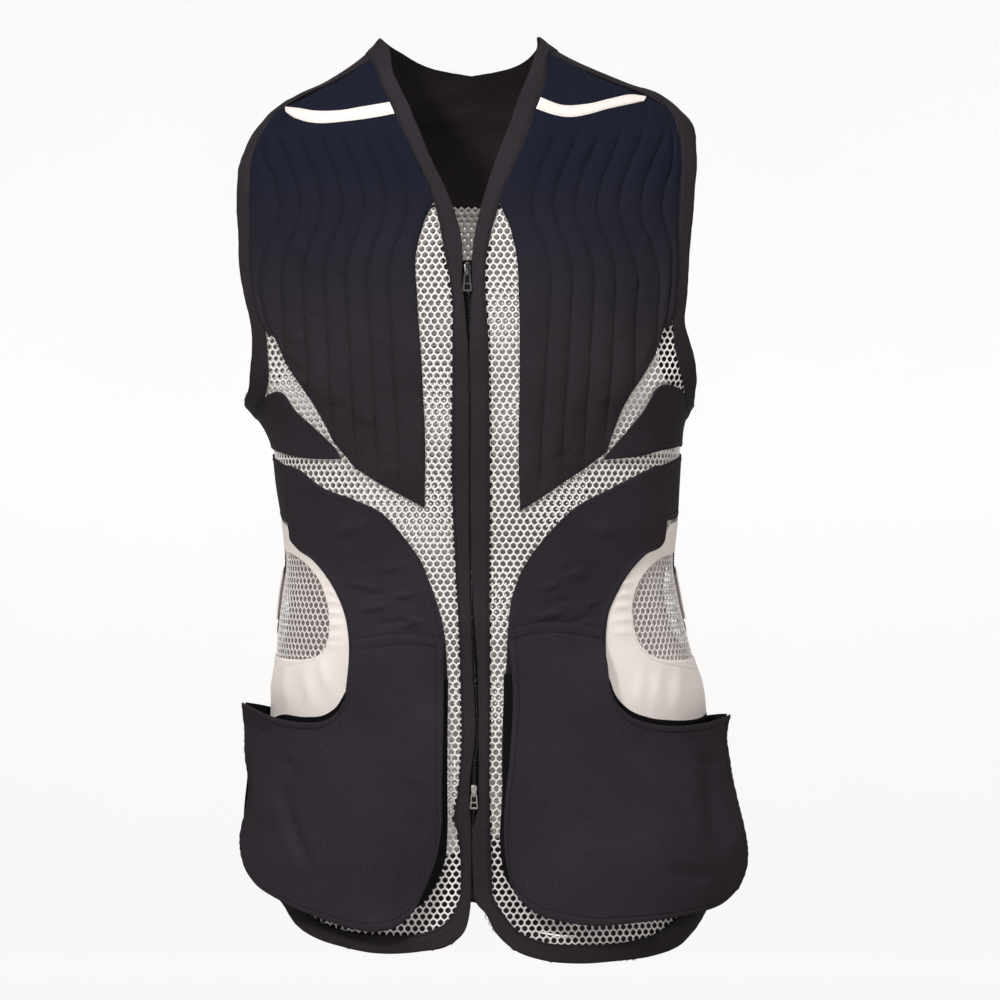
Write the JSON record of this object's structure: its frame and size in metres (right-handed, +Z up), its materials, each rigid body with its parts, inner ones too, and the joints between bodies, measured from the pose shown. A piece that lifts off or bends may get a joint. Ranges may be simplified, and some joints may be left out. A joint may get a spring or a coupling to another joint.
{
  "type": "shooting vest",
  "caption": "Sleeveless V-neck shooting vest of white net with quilted black chest pads, cream stripes and side panels, open patch pockets and a front zip",
  "frame": {"origin": "midway between the wearer's shoulders, at the height where the shoulder seams rest, on the plane of the zip", "axes": "+Z up along the wearer's spine, front faces -Y, the wearer's left side is at +X"},
  "size_m": [0.417, 0.2689, 0.7537],
  "materials": {
    "white_net": "white polyester net, open hexagonal holes",
    "quilted_twill": "blue-black cotton twill, quilted",
    "black_twill": "black cotton twill, matt",
    "pale_twill": "cream cotton twill, matt",
    "black_binding": "black woven binding, matt",
    "black_coil": "black nylon zip coil on woven tape",
    "black_enamel": "gloss black enamel",
    "grey_metal": "satin grey zinc",
    "dark_plastic": "dark moulded nylon, glossy"
  },
  "bodies": {
    "vest": {"adjuster_ring_left": "dark_plastic", "adjuster_ring_right": "dark_plastic", "adjuster_tab_left": "pale_twill", "adjuster_tab_right": "pale_twill", "adjuster_tape_left": "black_binding", "adjuster_tape_right": "black_binding", "armhole_band_left": "black_binding", "armhole_band_right": "black_binding", "back_net": "white_net", "back_yoke": "black_twill", "chest_pad_left": "quilted_twill", "chest_pad_right": "quilted_twill", "front_net_left": "white_net", "front_net_right": "white_net", "hem_band_back": "black_binding", "hem_band_left": "black_binding", "hem_band_right": "black_binding", "lower_front_left": "black_twill", "lower_front_right": "black_twill", "neck_band_left": "black_binding", "neck_band_right": "black_binding", "pocket_front_left": "black_twill", "pocket_front_right": "black_twill", "pocket_gusset_left": "black_twill", "pocket_gusset_right": "black_twill", "shoulder_stripe_left": "pale_twill", "shoulder_stripe_right": "pale_twill", "side_panel_left": "pale_twill", "side_panel_right": "pale_twill", "side_strip_left": "black_twill", "side_strip_right": "black_twill", "waist_side_left": "black_twill", "waist_side_right": "black_twill", "window_net_left": "white_net", "window_net_right": "white_net", "zip_slider_bottom": "grey_metal", "zip_slider_top": "black_enamel", "zip_tape_left": "black_coil", "zip_tape_right": "black_coil"},
    "zip_tab_top": {"zip_pull_top": "black_enamel"},
    "zip_tab_bottom": {"zip_pull_bottom": "grey_metal"}
  },
  "joints": [
    {"name": "zip_tab_top_hinge", "type": "hinge", "parent": "vest", "child": "zip_tab_top", "pos_m": [-0.0022, -0.12359, -0.16615], "axis": [-1, 0, 0], "range_deg": [0, 150]},
    {"name": "zip_tab_bottom_hinge", "type": "hinge", "parent": "vest", "child": "zip_tab_bottom", "pos_m": [0.0032, -0.13098, -0.58185], "axis": [-1, 0, 0], "range_deg": [0, 150]}
  ]
}
